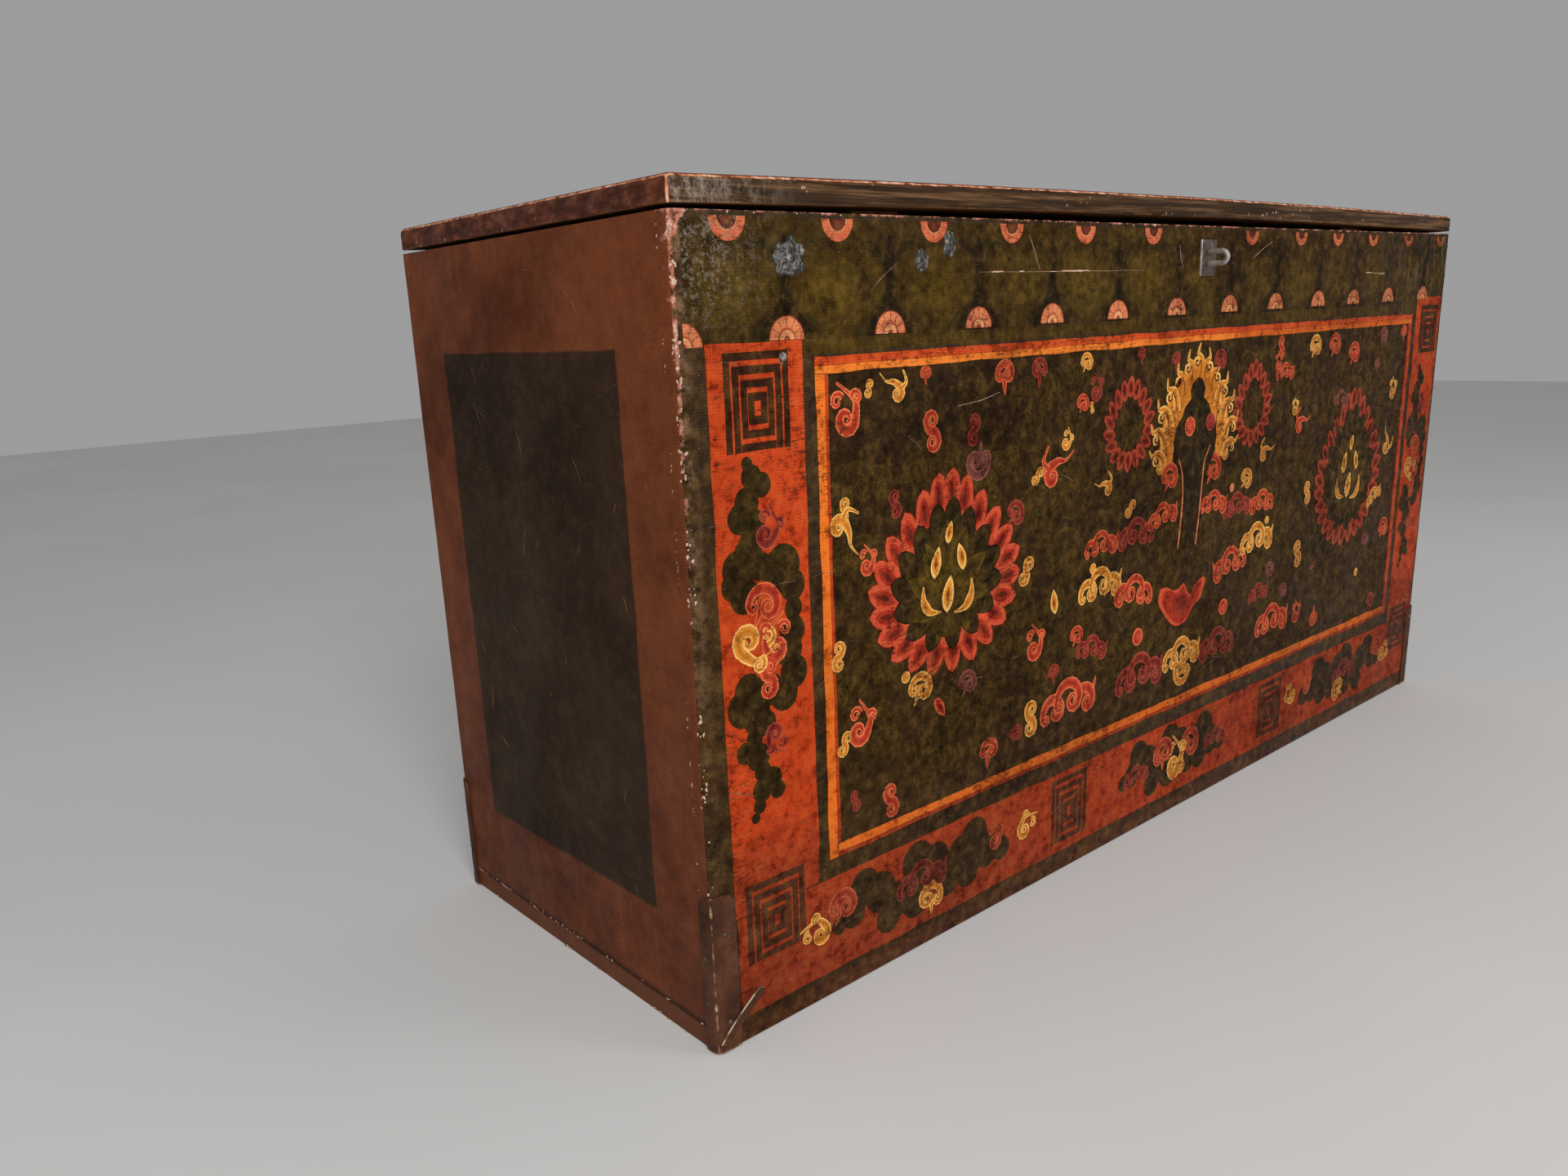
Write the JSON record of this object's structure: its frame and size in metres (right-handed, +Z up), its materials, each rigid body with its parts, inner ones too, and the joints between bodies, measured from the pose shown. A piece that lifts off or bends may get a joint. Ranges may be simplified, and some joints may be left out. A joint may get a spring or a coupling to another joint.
{
  "type": "painted trunk",
  "caption": "Long wooden storage trunk skinned in painted cloth, with hide corner caps, an iron padlock staple and a bowed lid on strap hinges.",
  "frame": {"origin": "middle of the underside of the bottom boards", "axes": "+X along the front towards the viewer's right, +Y from the front to the back, +Z up"},
  "size_m": [1.095, 0.3865, 0.5559],
  "materials": {
    "board_wood": "aged bare pine",
    "front_paint": "painted and varnished cloth on a chalk ground",
    "end_paint": "painted and varnished cloth on a chalk ground",
    "lid_paint": "painted, worn at the edges",
    "hide": "dry scuffed hide",
    "iron": "hand forged, dark"
  },
  "bodies": {
    "carcass": {"front_top_plank": "board_wood", "front_middle_plank": "board_wood", "front_lower_plank": "board_wood", "back_upper_plank": "board_wood", "back_lower_plank": "board_wood", "left_upper_plank": "board_wood", "left_lower_plank": "board_wood", "right_upper_plank": "board_wood", "right_lower_plank": "board_wood", "bottom_front_plank": "board_wood", "bottom_middle_plank": "board_wood", "bottom_back_plank": "board_wood", "front_cloth": "front_paint", "back_cloth": "end_paint", "left_cloth": "end_paint", "right_cloth": "end_paint", "cap_front_left": "hide", "cap_front_right": "hide", "cap_back_left": "hide", "cap_back_right": "hide", "hide_flap": "hide", "lock_plate": "iron", "lock_staple": "iron", "lock_nails": "iron", "left_hinge_back_leaf": "iron", "right_hinge_back_leaf": "iron", "left_hinge_pin": "iron", "right_hinge_pin": "iron", "bottom_pegs": "board_wood", "cap_nails": "iron", "hinge_back_nails": "iron"},
    "lid": {"lid_front_plank": "lid_paint", "lid_back_plank": "lid_paint", "left_batten": "board_wood", "right_batten": "board_wood", "left_hinge_lid_leaf": "iron", "right_hinge_lid_leaf": "iron", "batten_nails": "iron", "hinge_lid_nails": "iron"}
  },
  "joints": [
    {"name": "lid_hinge", "type": "hinge", "parent": "carcass", "child": "lid", "pos_m": [0, 0.18005, 0.533], "axis": [-1, 0, 0], "range_deg": [0, 108]}
  ]
}
